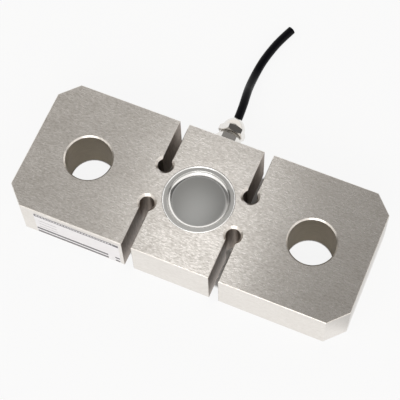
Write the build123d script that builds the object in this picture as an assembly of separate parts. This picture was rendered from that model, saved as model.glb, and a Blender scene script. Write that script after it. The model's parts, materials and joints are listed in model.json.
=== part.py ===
"""Tension load cell: a flat steel plate with a ring in its middle, and a gland with its cable.

A thick plate carries an eye at each end. Four slots run in from its long edges and end
in round keyholes. They leave two necks, so the whole pull goes through the ring around
the round cavity in the middle. Four strain gauges sit on the cavity wall, where the
keyholes leave it thinnest. A turned cover seals each mouth of the cavity. A small round
board joins the gauges to the cable, which leaves through a gland in the rear edge.

Millimetres. +X runs along the plate, +Y towards the gland and +Z up. The origin is the
middle of the bottom face.
"""
from build123d import *
from math import atan2, cos, degrees, pi, radians, sin, sqrt, tan
import os

# Plate and its eyes
plate_width = 98.0
plate_thickness = 35.5
eye_pitch = 160.0
eye_to_end = 40.0
eye_radius = 16.0
eye_chamfer = 1.0
corner_cut_x = 12.0
corner_cut_y = 12.5
edge_break = 0.4

# Cavity, slots and keyholes
cavity_radius = 21.6
ring_wall = 7.6
neck_width = 20.0
keyhole_radius = 5.0
keyhole_sink = 1.6
slot_width = 6.8

# Covers: a rounded lip, a flat band, a steep wall and a flat floor
ledge_width = 2.8
cover_side_gap = 0.05
cover_rim_height = 1.5
cover_seal_height = 0.3
cover_seal_inset = 0.3
lip_width = 1.1
lip_round = 0.4
band_depth = 0.4
shoulder_round = 0.6
skirt_gap = 0.4
skirt_wall = 0.3
wall_run = 1.3
wall_round = 3.4
dish_depth = 3.0
dish_sheet = 0.6
dish_foot_flare = 0.6

# Strain gauges: carrier film, etched foil grid and the coat over the grid
glue_line = 0.1
film_thickness = 0.06
film_width = 8.0
film_height = 10.0
foil_thickness = 0.03
grid_strands = 7
grid_pitch = 0.6
grid_strand = 0.3
grid_length = 5.0
grid_above_tabs = 1.0
tab_size = 1.6
tab_spacing = 5.2
tab_margin = 0.6
coat_thickness = 1.2
coat_margin = 0.8

# Board on its foam pad, with the pads, solder and resistors
foam_thickness = 2.0
foam_radius = 15.0
board_radius = 15.5
board_thickness = 1.2
copper_thickness = 0.05
copper_radius = 1.0
solder_height = 0.8
solder_foot_radius = 0.85
solder_top_radius = 0.5
gauge_pad_radius_at = 13.0
core_pad_pitch = 4.0
core_pad_y = 10.0
resistor_radius = 1.15
resistor_length = 6.2
resistor_round = 0.5
resistor_leg_radius = 0.3
resistor_leg_reach = 5.0
resistor_lift = 0.4
modulus_resistor_x = 6.0
modulus_resistor_y = -1.0
zero_resistor_y = -10.0

# Wires inside
lead_radius = 0.15
lead_bend = 1.5
lead_above_pad = 0.35
core_radius = 0.55
core_circle = 1.5
core_bend = 1.8
core_straight = 4.0
core_tip_radius = 0.25
core_tip_length = 1.6
drain_radius = 0.25

# Gland, set into the rear edge a little to one side of the middle
gland_x = -2.0
gland_across_flats = 17.0
gland_body_turn = 7.0
gland_nut_turn = 18.0
hex_face_inset = 0.4
hex_chamfer_angle = 30.0
thread_radius = 8.0
thread_gap = 0.1
thread_hole_depth = 11.0
shank_length = 8.5
shank_chamfer = 0.6
washer_height = 1.3
washer_side_gap = 0.15
washer_radius = 9.5
collar_height = 7.5
spigot_radius = 7.0
spigot_length = 7.0
spigot_wall = 1.2
seat_below_collar_top = 0.5
jacket_gap = 0.4
nut_gap = 2.1
nut_hex_height = 5.2
nut_thread_gap = 0.1
nut_dome_inset = 0.3
nut_dome_height = 7.0
nut_dome_shoulder = 1.2
nut_dome_shoulder_height = 4.0
nut_nose_wall = 1.25
nut_thread_depth = 7.0
nut_cone_length = 4.0
nut_exit_gap = 0.25
seal_wall = 1.6
seal_length = 8.0
claw_flange_height = 1.0
claw_flange_width = 0.9
claw_finger_length = 2.6
claw_finger_taper = 0.5
claw_slots = 6
claw_slot_width = 0.9

# Cable
cable_radius = 3.05
jacket_back = 2.0
passage_gap = 0.6
sealant_setback = 1.0

# Each step of the free cable's route: across and along from the gland's mouth, and how
# high it lies, as a share of the mouth's height over the floor line
cable_steps = [
    (0.0, 0.0, 1.0),
    (0.0, 12.7, 1.0),
    (-2.8, 23.7, 0.8),
    (-4.4, 34.2, 0.29),
    (-5.5, 45.7, 0.0),
    (-4.7, 57.7, 0.0),
    (-2.4, 69.7, 0.0),
    (1.1, 81.4, 0.0),
    (5.5, 92.4, 0.0),
]
arc_share = 0.45

# Nameplate on the front edge of the left block, ruled but with no words. Each printed
# mark is given by how far in it starts, its length, how far up it starts and its height
label_length = 62.2
label_height = 29.4
label_thickness = 0.15
label_to_slot = 2.3
label_bottom = 1.4
print_thickness = 0.03
head_bar = (0.4, 56.8, 25.4, 3.4)
foot_bars = [(0.4, 52.6, 5.2, 2.4), (0.4, 52.6, 0.5, 2.4)]
side_blocks = [(58.2, 3.4, 5.2, 2.0), (58.2, 3.4, 0.6, 2.0), (57.6, 4.2, 25.2, 3.2)]
ruled_rows = 3
ruled_row_pitch = 4.4
ruled_row_bottom = 10.5
ruled_row_height = 0.5
ruled_row_x = 3.0
ruled_row_length = 13.0

# Places that follow from the sizes above
plate_length = eye_pitch + 2 * eye_to_end
mid_height = plate_thickness / 2
keyhole_y = neck_width / 2 + keyhole_radius
slot_x = sqrt((cavity_radius + ring_wall + keyhole_radius) ** 2 - keyhole_y**2)
gauge_angle = degrees(atan2(keyhole_y, slot_x))
cover_radius = cavity_radius + ledge_width
ledge_depth = cover_rim_height + cover_seal_height
cover_depth = dish_depth + dish_sheet
board_bottom = cover_depth + foam_thickness
board_top = board_bottom + board_thickness
pad_top = board_top + copper_thickness
film_radius = cavity_radius - glue_line
foil_radius = film_radius - film_thickness
tab_radius = foil_radius - foil_thickness
tab_angle = degrees(tab_spacing / 2 / tab_radius)
rear_edge = plate_width / 2
cavity_wall_at_gland = sqrt(cavity_radius**2 - gland_x**2)
jacket_end_y = cavity_wall_at_gland + jacket_back
passage_radius = cable_radius + passage_gap
gland_place = Plane(origin=(gland_x, rear_edge, mid_height), x_dir=(1, 0, 0), z_dir=(0, 1, 0)).location
collar_top = washer_height + collar_height
spigot_top = collar_top + spigot_length
spigot_bore_radius = spigot_radius - spigot_wall
seal_seat = collar_top + seat_below_collar_top
nut_start = collar_top + nut_gap
nut_end = nut_start + nut_hex_height + nut_dome_height
seal_radius = cable_radius + seal_wall
cable_exit_y = rear_edge + nut_end
cut_past = 1.0


def turned(points):
    """A solid turned about Z from a closed outline of (radius, height) points."""
    return revolve(Plane.XZ * make_face(Polyline(*points, close=True)), Axis.Z)


def disc(radius, low, high):
    """A round disc or bar between two heights."""
    return Pos(0, 0, low) * Cylinder(radius, high - low, align=(Align.CENTER, Align.CENTER, Align.MIN))


def ring(inner, outer, low, high):
    """A plain ring between two heights."""
    return disc(outer, low, high) - disc(inner, low - cut_past, high + cut_past)


def sector(inner, outer, arc, low, high, middle_angle=0.0):
    """A piece of a ring whose outer face is arc long, centred on an angle about Z."""
    sweep_angle = degrees(arc / outer)
    section = Plane.XZ * Pos((inner + outer) / 2, (low + high) / 2) * Rectangle(outer - inner, high - low)
    return Rot(0, 0, middle_angle - sweep_angle / 2) * revolve(section, Axis.Z, sweep_angle)


def wire(points, radius, bends):
    """A round wire along straight runs joined by arcs."""
    path = FilletPolyline(*points, radius=bends)
    start = Plane(origin=path @ 0, z_dir=path % 0)
    return sweep(start * Circle(radius), path=path)


def wire_with_tip(points, radius, bends, tip_radius, tip_length):
    """An insulated wire whose last vertical stretch is stripped to its conductor."""
    x, y, bottom = points[-1]
    body = wire(points[:-1] + [(x, y, bottom + tip_length)], radius, bends)
    return body + Pos(x, y, 0) * disc(tip_radius, bottom, bottom + tip_length)


def through_hole(radius, chamfer):
    """The cutter for a round hole through the plate, opened by a 45 degree chamfer at both faces."""
    past = radius + chamfer + cut_past
    top = plate_thickness
    return turned([
        (0, -cut_past),
        (past, -cut_past),
        (radius, chamfer),
        (radius, top - chamfer),
        (past, top + cut_past),
        (0, top + cut_past),
    ])


def plate_outline():
    """The plate seen from above, with its corners cut and its slots and keyholes open."""
    half_x, half_y = plate_length / 2, plate_width / 2
    corners = []
    for side_x, side_y in [(1, 1), (-1, 1), (-1, -1), (1, -1)]:
        on_end = (side_x * half_x, side_y * (half_y - corner_cut_y))
        on_edge = (side_x * (half_x - corner_cut_x), side_y * half_y)
        corners += [on_end, on_edge] if side_x == side_y else [on_edge, on_end]
    outline = make_face(Polyline(*corners, close=True))
    slot_length = half_y - keyhole_y + cut_past
    for side_x in (1, -1):
        for side_y in (1, -1):
            keyhole_at = Pos(side_x * slot_x, side_y * keyhole_y)
            outline -= keyhole_at * Circle(keyhole_radius)
            outline -= keyhole_at * Pos(0, side_y * slot_length / 2) * Rectangle(slot_width, slot_length)
    return outline


def make_plate():
    """The whole spring body, cut from one plate."""
    plate = extrude(plate_outline(), plate_thickness)
    layers = plate.edges().group_by(Axis.Z)
    plate = chamfer(layers[0] + layers[-1], edge_break)
    for side_x in (1, -1):
        plate -= Pos(side_x * eye_pitch / 2, 0) * through_hole(eye_radius, eye_chamfer)
        for side_y in (1, -1):
            plate -= Pos(side_x * slot_x, side_y * keyhole_y) * through_hole(keyhole_radius, keyhole_sink)
    ledge_radius = cover_radius + cover_side_gap
    top = plate_thickness
    plate -= disc(cavity_radius, -cut_past, top + cut_past)
    plate -= disc(ledge_radius, -cut_past, ledge_depth)
    plate -= disc(ledge_radius, top - ledge_depth, top + cut_past)
    plate -= gland_place * disc(thread_radius, -thread_hole_depth, cut_past)
    passage_length = rear_edge - cavity_wall_at_gland + cut_past
    plate -= gland_place * disc(passage_radius, -passage_length, 0)
    return plate


def make_cover():
    """A cover with its outer face at height 0 and its dish pressed downwards."""
    skirt_radius = cavity_radius - skirt_gap
    wall_radius = skirt_radius - skirt_wall
    floor_radius = wall_radius - wall_run
    band_radius = cover_radius - lip_width
    outline = make_face(Polyline(
        (0, -dish_depth),
        (floor_radius, -dish_depth),
        (wall_radius, -band_depth),
        (band_radius, -band_depth),
        (band_radius + band_depth, 0),
        (cover_radius, 0),
        (cover_radius, -cover_rim_height),
        (skirt_radius, -cover_rim_height),
        (floor_radius + dish_foot_flare, -cover_depth),
        (0, -cover_depth),
        close=True,
    ))
    foot = outline.vertices().sort_by_distance((floor_radius, -dish_depth))[0]
    outline = fillet(foot, wall_round)
    shoulder = outline.vertices().sort_by_distance((wall_radius, -band_depth))[0]
    outline = fillet(shoulder, shoulder_round)
    crown = outline.vertices().sort_by_distance((cover_radius, 0))[0]
    outline = fillet(crown, lip_round)
    return revolve(Plane.XZ * outline, Axis.Z)


def make_cover_seal(low):
    """The flat sealing ring between a cover's rim and its ledge."""
    inner = cavity_radius + cover_seal_inset
    outer = cover_radius - cover_seal_inset
    return ring(inner, outer, low, low + cover_seal_height)


def tab_height():
    """The height of a gauge's two solder tabs, near the film's lower edge."""
    return mid_height - film_height / 2 + tab_margin + tab_size / 2


def grid_bottom():
    """The lower edge of a gauge's grid, above its tabs."""
    return tab_height() + tab_size / 2 + grid_above_tabs


def make_gauge_film():
    """The carrier film, a glue line off the cavity wall and centred on angle 0."""
    low = mid_height - film_height / 2
    return sector(foil_radius, film_radius, film_width, low, low + film_height)


def foil_strip(middle, width, low, high):
    """A strip of foil on the film, placed by how far round the wall its middle lies."""
    return sector(tab_radius, foil_radius, width, low, high, degrees(middle / foil_radius))


def make_gauge_grid():
    """The foil: strands joined in a zigzag, with a tail down to each solder tab."""
    bottom = grid_bottom()
    top = bottom + (grid_strands - 1) * grid_pitch + grid_strand
    tab_low = tab_height() - tab_size / 2
    loop_at = (grid_length - grid_strand) / 2
    tail_at = loop_at + grid_pitch
    grid = foil_strip(0, grid_length, bottom, bottom + grid_strand)
    for strand in range(1, grid_strands):
        low = bottom + strand * grid_pitch
        side = 1 if strand % 2 else -1
        grid += foil_strip(0, grid_length, low, low + grid_strand)
        grid += foil_strip(side * loop_at, grid_strand, low - grid_pitch, low + grid_strand)
    grid += foil_strip(-loop_at, grid_strand, tab_low, bottom + grid_strand)
    grid += foil_strip(tail_at, grid_strand, tab_low, top)
    grid += foil_strip((loop_at + tail_at) / 2, grid_pitch + grid_strand, top - grid_strand, top)
    for side in (1, -1):
        grid += foil_strip(side * tab_spacing / 2, tab_size, tab_low, tab_low + tab_size)
    return grid


def make_gauge_coat(film, grid):
    """The protective coat over the grid, which leaves the tabs free."""
    grid_height = (grid_strands - 1) * grid_pitch + grid_strand
    low = grid_bottom() - grid_above_tabs / 2
    high = grid_bottom() + grid_height + coat_margin
    width = film_width + 2 * coat_margin
    return sector(film_radius - coat_thickness, film_radius, width, low, high) - film - grid


def make_tab_solder(side):
    """The solder on one tab of a gauge at angle 0."""
    size = tab_size - 2 * grid_strand
    low = tab_height() - size / 2
    return sector(tab_radius - size / 2, tab_radius, size, low, low + size, side * tab_angle)


def make_gauge_lead(angle):
    """One enamelled lead: from a tab straight down the wall, then in to its pad on the board."""
    wall = tab_radius - lead_radius
    low = pad_top + lead_above_pad
    route = [(wall, 0, tab_height()), (wall, 0, low), (gauge_pad_radius_at, 0, low)]
    return Rot(0, 0, angle) * wire(route, lead_radius, lead_bend)


def make_solder_joint(x, y, wire_end):
    """A solder joint on one pad of the board, run round the end of its wire."""
    joint = Pos(0, 0, solder_height / 2) * Cone(solder_foot_radius, solder_top_radius, solder_height)
    return Pos(x, y, pad_top) * joint - wire_end


def make_resistor(x, y, turn):
    """A leaded resistor, lying along local X before it is turned."""
    height = board_top + resistor_lift + resistor_radius
    body = Rot(0, 90, 0) * Cylinder(resistor_radius, resistor_length)
    body = Pos(0, 0, height) * fillet(body.edges(), resistor_round)
    reach = resistor_leg_reach
    legs = wire([(-reach, 0, pad_top), (-reach, 0, height), (reach, 0, height), (reach, 0, pad_top)],
                resistor_leg_radius, 2 * resistor_leg_radius)
    return Pos(x, y) * Rot(0, 0, turn) * (body + legs)


def hexagon_blank(low, high, turn):
    """A hexagon bar with its corners turned down at both ends."""
    corner = gland_across_flats / 2 / cos(pi / 6)
    face = gland_across_flats / 2 - hex_face_inset
    drop = (corner - face) * tan(radians(hex_chamfer_angle))
    bar = Pos(0, 0, low) * extrude(
        RegularPolygon(gland_across_flats / 2, 6, major_radius=False, rotation=turn), high - low)
    return bar & turned([
        (0, low),
        (face, low),
        (corner, low + drop),
        (corner, high - drop),
        (face, high),
        (0, high),
    ])


def make_gland_washer():
    """The sealing washer under the gland's collar."""
    return ring(thread_radius - thread_gap + washer_side_gap, washer_radius, 0, washer_height)


def make_gland_body():
    """The gland's body: threaded shank, hexagon collar and spigot, bored for the cable."""
    collar = hexagon_blank(washer_height, collar_top, gland_body_turn)
    shank_radius = thread_radius - thread_gap
    shank = turned([
        (0, -shank_length),
        (shank_radius - shank_chamfer, -shank_length),
        (shank_radius, shank_chamfer - shank_length),
        (shank_radius, washer_height + cut_past),
        (0, washer_height + cut_past),
    ])
    spigot = disc(spigot_radius, collar_top - cut_past, spigot_top)
    bore = disc(cable_radius + jacket_gap, -shank_length - cut_past, spigot_top)
    seat = disc(spigot_bore_radius, seal_seat, spigot_top + cut_past)
    return collar + shank + spigot - bore - seat


def make_gland_seal():
    """The rubber sleeve that grips the cable inside the claw."""
    return ring(cable_radius, seal_radius, seal_seat, seal_seat + seal_length)


def make_gland_claw():
    """The slotted clamping sleeve: it fills the spigot, seats on its rim and ends in fingers."""
    flange_radius = spigot_bore_radius + claw_flange_width
    flange_top = spigot_top + claw_flange_height
    tip = flange_top + claw_finger_length
    sleeve = turned([
        (seal_radius, seal_seat),
        (spigot_bore_radius, seal_seat),
        (spigot_bore_radius, spigot_top),
        (flange_radius, spigot_top),
        (flange_radius, flange_top),
        (spigot_bore_radius, flange_top),
        (spigot_bore_radius - claw_finger_taper, tip),
        (seal_radius, tip),
    ])
    for index in range(claw_slots):
        cut = Box(spigot_radius, claw_slot_width, tip - flange_top + cut_past,
                  align=(Align.MIN, Align.CENTER, Align.MIN))
        sleeve -= Rot(0, 0, index * 360 / claw_slots) * Pos(0, 0, flange_top) * cut
    return sleeve


def make_gland_nut():
    """The dome nut: a hexagon that runs into a rounded dome with the cable's mouth in its nose."""
    hex_top = nut_start + nut_hex_height
    hexagon = hexagon_blank(nut_start, hex_top, gland_nut_turn)
    exit_radius = cable_radius + nut_exit_gap
    dome_radius = gland_across_flats / 2 - nut_dome_inset
    dome_foot = (dome_radius, hex_top)
    shoulder = (dome_radius - nut_dome_shoulder, hex_top + nut_dome_shoulder_height)
    nose = (exit_radius + nut_nose_wall, nut_end)
    below = hex_top - cut_past
    side = Polyline((0, nut_end), (0, below), (dome_radius, below), dome_foot)
    outline = make_face([*side.edges(), ThreePointArc(dome_foot, shoulder, nose), Line(nose, (0, nut_end))])
    dome = revolve(Plane.XZ * outline, Axis.Z)
    thread = spigot_radius + nut_thread_gap
    cone_start = nut_start + nut_thread_depth
    inside = turned([
        (0, nut_start - cut_past),
        (thread, nut_start - cut_past),
        (thread, cone_start),
        (exit_radius, cone_start + nut_cone_length),
        (exit_radius, nut_end + cut_past),
        (0, nut_end + cut_past),
    ])
    return hexagon + dome - inside


def cable_route():
    """The free cable's route, from the gland's mouth down to the floor and along it."""
    fall = mid_height - cable_radius
    return [
        (gland_x + across, cable_exit_y + along, cable_radius + share * fall)
        for across, along, share in cable_steps
    ]


def route_radii(points):
    """The radius of each arc of a route, from its two runs and the turn between them."""
    radii = []
    for before, corner, after in zip(points, points[1:], points[2:]):
        run_in = Vector(*corner) - Vector(*before)
        run_out = Vector(*after) - Vector(*corner)
        half_turn = radians(run_in.get_angle(run_out)) / 2
        radii.append(arc_share * min(run_in.length, run_out.length) / tan(half_turn))
    return radii


def make_cable():
    """The free cable outside the gland, ending in a clean cut."""
    points = cable_route()
    radii = route_radii(points)
    path = FilletPolyline(*points, radius=radii)
    cable = sweep(Plane(origin=path @ 0, z_dir=path % 0) * Circle(cable_radius), path=path)
    section = Circle(cable_radius).area
    print("cable arcs", [round(radius, 1) for radius in radii])
    print("cable length", round(path.length, 1), "volume over section", round(cable.volume / section, 1))
    return cable


def label_plate(x, length, z, height, behind, thickness):
    """A thin rectangle on the front edge, placed from the nameplate's lower left corner."""
    left = -slot_x - slot_width / 2 - label_to_slot - label_length
    front = -plate_width / 2 - behind
    corner = Pos(left + x, front, label_bottom + z)
    return corner * Box(length, thickness, height, align=(Align.MIN, Align.MAX, Align.MIN))


def make_label_print():
    """The nameplate's dark bars and rules, which hold no words."""
    marks = [head_bar] + foot_bars + side_blocks
    for row in range(ruled_rows):
        row_bottom = ruled_row_bottom + row * ruled_row_pitch
        marks.append((ruled_row_x, ruled_row_length, row_bottom, ruled_row_height))
    return [
        label_plate(x, length, z, height, label_thickness, print_thickness)
        for x, length, z, height in marks
    ]


def write(name, shape):
    """Writes one node's STEP file. A list of solids becomes one group."""
    export_step(Compound(children=shape) if isinstance(shape, list) else shape, f"parts/{name}.step")


os.makedirs("parts", exist_ok=True)

# Spring body and covers
write("plate_body", make_plate())
cover = make_cover()
write("top_cover", Pos(0, 0, plate_thickness) * cover)
write("bottom_cover", Rot(180, 0, 0) * cover)
write("top_cover_seal", make_cover_seal(plate_thickness - ledge_depth))
write("bottom_cover_seal", make_cover_seal(cover_rim_height))

# Gauges, two towards each eye
gauge_angles = {
    "right_rear": gauge_angle,
    "left_rear": 180 - gauge_angle,
    "left_front": 180 + gauge_angle,
    "right_front": -gauge_angle,
}
film = make_gauge_film()
grid = make_gauge_grid()
coat = make_gauge_coat(film, grid)
leads = []
tab_solder = []
joined = []
for place, angle in gauge_angles.items():
    write(f"gauge_film_{place}", Rot(0, 0, angle) * film)
    write(f"gauge_grid_{place}", Rot(0, 0, angle) * grid)
    write(f"gauge_coat_{place}", Rot(0, 0, angle) * coat)
    for side in (1, -1):
        lead_angle = angle + side * tab_angle
        lead = make_gauge_lead(lead_angle)
        leads.append(lead)
        tab_solder.append(Rot(0, 0, angle) * make_tab_solder(side) - lead)
        around = radians(lead_angle)
        joined.append((gauge_pad_radius_at * cos(around), gauge_pad_radius_at * sin(around), lead))

# Cable cores: two above and two below the cable's middle, with the drain wire between
core_shift = core_circle * sin(pi / 4)
core_routes = {
    "core_red": (-1, 1, -2.0),
    "core_black": (-1, -1, -1.0),
    "core_green": (1, -1, 0.0),
    "core_white": (1, 1, 1.0),
    "shield_drain": (0, 0, 2.0),
}
for name, (across, up, pad_step) in core_routes.items():
    start_x = gland_x + across * core_shift
    start_z = mid_height + up * core_shift
    pad_x = pad_step * core_pad_pitch
    route = [
        (start_x, jacket_end_y, start_z),
        (start_x, jacket_end_y - core_straight, start_z),
        (pad_x, core_pad_y, start_z),
        (pad_x, core_pad_y, pad_top),
    ]
    if name == "shield_drain":
        core = wire(route, drain_radius, core_bend)
    else:
        core = wire_with_tip(route, core_radius, core_bend, core_tip_radius, core_tip_length)
    joined.append((pad_x, core_pad_y, core))
    write(name, core)

# Resistors
resistor_places = {
    "modulus_resistor_left": (-modulus_resistor_x, modulus_resistor_y, 90),
    "modulus_resistor_right": (modulus_resistor_x, modulus_resistor_y, 90),
    "zero_balance_resistor": (0, zero_resistor_y, 0),
}
for name, (x, y, turn) in resistor_places.items():
    resistor = make_resistor(x, y, turn)
    for side in (1, -1):
        reach = side * resistor_leg_reach
        joined.append((x, y + reach, resistor) if turn else (x + reach, y, resistor))
    write(name, resistor)

# Board, its foam pad, copper pads, solder joints and gauge leads
write("board_foam_pad", disc(foam_radius, cover_depth, board_bottom))
write("terminal_board", disc(board_radius, board_bottom, board_top))
write("board_copper_pads", [Pos(x, y) * disc(copper_radius, board_top, pad_top) for x, y, _ in joined])
write("solder_joints", [make_solder_joint(x, y, end) for x, y, end in joined] + tab_solder)
write("gauge_leads", leads)

# Gland and cable
write("gland_washer", gland_place * make_gland_washer())
write("gland_body", gland_place * make_gland_body())
write("gland_claw", gland_place * make_gland_claw())
write("gland_seal", gland_place * make_gland_seal())
write("gland_dome_nut", gland_place * make_gland_nut())
jacket_end = jacket_end_y - rear_edge
write("cable_in_gland", gland_place * disc(cable_radius, jacket_end, nut_end))
sealant_end = jacket_end + sealant_setback
write("passage_sealant", gland_place * ring(cable_radius, passage_radius, sealant_end, -thread_hole_depth))
write("cable", make_cable())

# Nameplate
write("nameplate", label_plate(0, label_length, 0, label_height, 0, label_thickness))
write("nameplate_print", make_label_print())
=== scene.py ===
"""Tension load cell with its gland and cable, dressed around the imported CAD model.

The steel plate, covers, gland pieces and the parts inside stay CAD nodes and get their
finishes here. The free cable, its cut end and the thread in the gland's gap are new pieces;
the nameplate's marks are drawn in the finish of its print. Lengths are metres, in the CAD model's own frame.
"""
import json
import logging
from dataclasses import dataclass, field
from enum import Enum
from math import cos, pi, radians, sin

import bmesh
import bpy
from mathutils import Matrix, Vector

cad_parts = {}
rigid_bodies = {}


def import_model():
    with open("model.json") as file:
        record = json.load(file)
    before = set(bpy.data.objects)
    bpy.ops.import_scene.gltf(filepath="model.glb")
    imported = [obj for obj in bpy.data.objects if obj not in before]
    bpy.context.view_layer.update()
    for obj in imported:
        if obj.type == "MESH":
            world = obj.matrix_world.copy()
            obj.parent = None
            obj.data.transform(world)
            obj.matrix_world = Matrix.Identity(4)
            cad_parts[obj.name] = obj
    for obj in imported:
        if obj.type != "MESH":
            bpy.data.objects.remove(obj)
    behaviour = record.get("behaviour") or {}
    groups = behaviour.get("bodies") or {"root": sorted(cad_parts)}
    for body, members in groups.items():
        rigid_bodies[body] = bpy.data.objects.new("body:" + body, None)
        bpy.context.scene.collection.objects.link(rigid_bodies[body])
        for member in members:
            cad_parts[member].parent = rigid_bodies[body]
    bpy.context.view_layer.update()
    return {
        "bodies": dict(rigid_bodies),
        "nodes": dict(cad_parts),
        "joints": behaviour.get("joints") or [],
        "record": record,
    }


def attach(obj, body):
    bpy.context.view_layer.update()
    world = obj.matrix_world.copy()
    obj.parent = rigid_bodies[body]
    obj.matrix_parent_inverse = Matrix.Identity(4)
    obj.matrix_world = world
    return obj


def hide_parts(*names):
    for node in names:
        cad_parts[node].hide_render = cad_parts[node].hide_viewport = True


LOG = logging.getLogger("load_cell")
BODY = "root"

Colour = tuple[float, float, float]
Point = tuple[float, float, float]


class Axis(Enum):
    """The line that a grain, a lay or a row of bands follows."""

    ALONG = 0
    ACROSS = 1
    UPRIGHT = 2


class Sheen(Enum):
    """How a surface takes light: its metallic share."""

    BARE_METAL = 1.0
    NOT_METAL = 0.0


# ---------------------------------------------------------------------------
# Shader building
# ---------------------------------------------------------------------------


class Shader:
    """The node tree of one material, with short calls for what the finishes need."""

    def __init__(self, name: str) -> None:
        """Starts a material with one Principled surface.

        Args:
            name: the material's name.
        """
        self.material = bpy.data.materials.new(name)
        self.material.use_nodes = True
        self.tree = self.material.node_tree
        self.surface = self.tree.nodes["Principled BSDF"]
        coordinates = self.add("ShaderNodeTexCoord")
        self.place = coordinates.outputs["Object"]
        self.facing = coordinates.outputs["Normal"]

    def add(self, kind: str, **settings: object) -> bpy.types.Node:
        """Adds a node.

        Args:
            kind: the node's type name.
            settings: its properties by name.

        Returns:
            The node.
        """
        node = self.tree.nodes.new(kind)
        for name, value in settings.items():
            setattr(node, name, value)
        return node

    def feed(self, socket: bpy.types.NodeSocket, value: object) -> None:
        """Links a socket to another one, or sets it to a value.

        Args:
            socket: the input.
            value: an output socket, a number, a colour or a vector.
        """
        if isinstance(value, bpy.types.NodeSocket):
            self.tree.links.new(value, socket)
        elif isinstance(value, tuple) and socket.type == "RGBA":
            socket.default_value = (*value, 1.0)
        else:
            socket.default_value = value

    def math(self, operation: str, *values: object, clamp: bool = False) -> bpy.types.NodeSocket:
        """One sum on numbers.

        Args:
            operation: Blender's name for it.
            values: sockets or numbers.
            clamp: whether the result is kept from 0 to 1.

        Returns:
            The result.
        """
        node = self.add("ShaderNodeMath", operation=operation, use_clamp=clamp)
        for socket, value in zip(node.inputs, values):
            self.feed(socket, value)
        return node.outputs[0]

    def split(self, vector: bpy.types.NodeSocket) -> tuple[bpy.types.NodeSocket, ...]:
        """The three numbers of a vector.

        Args:
            vector: the vector.

        Returns:
            Its x, y and z.
        """
        node = self.add("ShaderNodeSeparateXYZ")
        self.feed(node.inputs[0], vector)
        return tuple(node.outputs)

    def stretched(self, scale: Point, shift: Point = (0.0, 0.0, 0.0)) -> bpy.types.NodeSocket:
        """Object coordinates, scaled for a pattern.

        Args:
            scale: repeats per metre on each axis.
            shift: what is added after that.

        Returns:
            The new coordinates.
        """
        node = self.add("ShaderNodeMapping")
        self.feed(node.inputs["Vector"], self.place)
        node.inputs["Scale"].default_value = scale
        node.inputs["Location"].default_value = shift
        return node.outputs[0]

    def noise(self, vector: bpy.types.NodeSocket, detail: float = 3.0, rough: float = 0.55,
              scale: float = 1.0) -> bpy.types.NodeSocket:
        """A soft random pattern.

        Args:
            vector: where it is read.
            detail: its octaves.
            rough: how strong the fine ones are.
            scale: its scale.

        Returns:
            The pattern, from 0 to 1.
        """
        node = self.add("ShaderNodeTexNoise")
        self.feed(node.inputs["Vector"], vector)
        node.inputs["Scale"].default_value = scale
        node.inputs["Detail"].default_value = detail
        node.inputs["Roughness"].default_value = rough
        return node.outputs[0]

    def range(self, value: bpy.types.NodeSocket, low: float, high: float, to_low: object,
              to_high: object) -> bpy.types.NodeSocket:
        """Maps a number from one range to another, held at both ends.

        Args:
            value: the number.
            low: the range's lower end.
            high: the range's upper end.
            to_low: what the lower end becomes.
            to_high: what the upper end becomes.

        Returns:
            The mapped number.
        """
        node = self.add("ShaderNodeMapRange")
        for socket, part in zip(node.inputs, (value, low, high, to_low, to_high)):
            self.feed(socket, part)
        return node.outputs[0]

    def blend(self, share: object, first: object, second: object) -> bpy.types.NodeSocket:
        """Mixes two colours.

        Args:
            share: how much of the second there is.
            first: the first colour.
            second: the second colour.

        Returns:
            The mixed colour.
        """
        node = self.add("ShaderNodeMix", data_type="RGBA")
        self.feed(node.inputs[0], share)
        self.feed(node.inputs[6], first)
        self.feed(node.inputs[7], second)
        return node.outputs[2]

    def bump(self, height: bpy.types.NodeSocket, depth: float, strength: float = 1.0,
             over: bpy.types.NodeSocket | None = None) -> bpy.types.NodeSocket:
        """Turns a pattern into relief.

        Args:
            height: the pattern, from 0 to 1.
            depth: what 1 stands for, in metres.
            strength: how much of it shows.
            over: the relief it lies on.

        Returns:
            The new normal.
        """
        node = self.add("ShaderNodeBump")
        self.feed(node.inputs["Height"], height)
        node.inputs["Distance"].default_value = depth
        node.inputs["Strength"].default_value = strength
        if over is not None:
            self.feed(node.inputs["Normal"], over)
        return node.outputs[0]

    def set(self, **inputs: object) -> None:
        """Sets the surface's inputs by name, with _ for a space.

        Args:
            inputs: values or sockets.
        """
        for name, value in inputs.items():
            self.feed(self.surface.inputs[name.replace("_", " ")], value)


def darker(colour: Colour, share: float) -> Colour:
    """A colour times a number.

    Args:
        colour: the colour.
        share: the number.

    Returns:
        The product.
    """
    return tuple(min(1.0, part * share) for part in colour)


# ---------------------------------------------------------------------------
# Finishes
# ---------------------------------------------------------------------------


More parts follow.
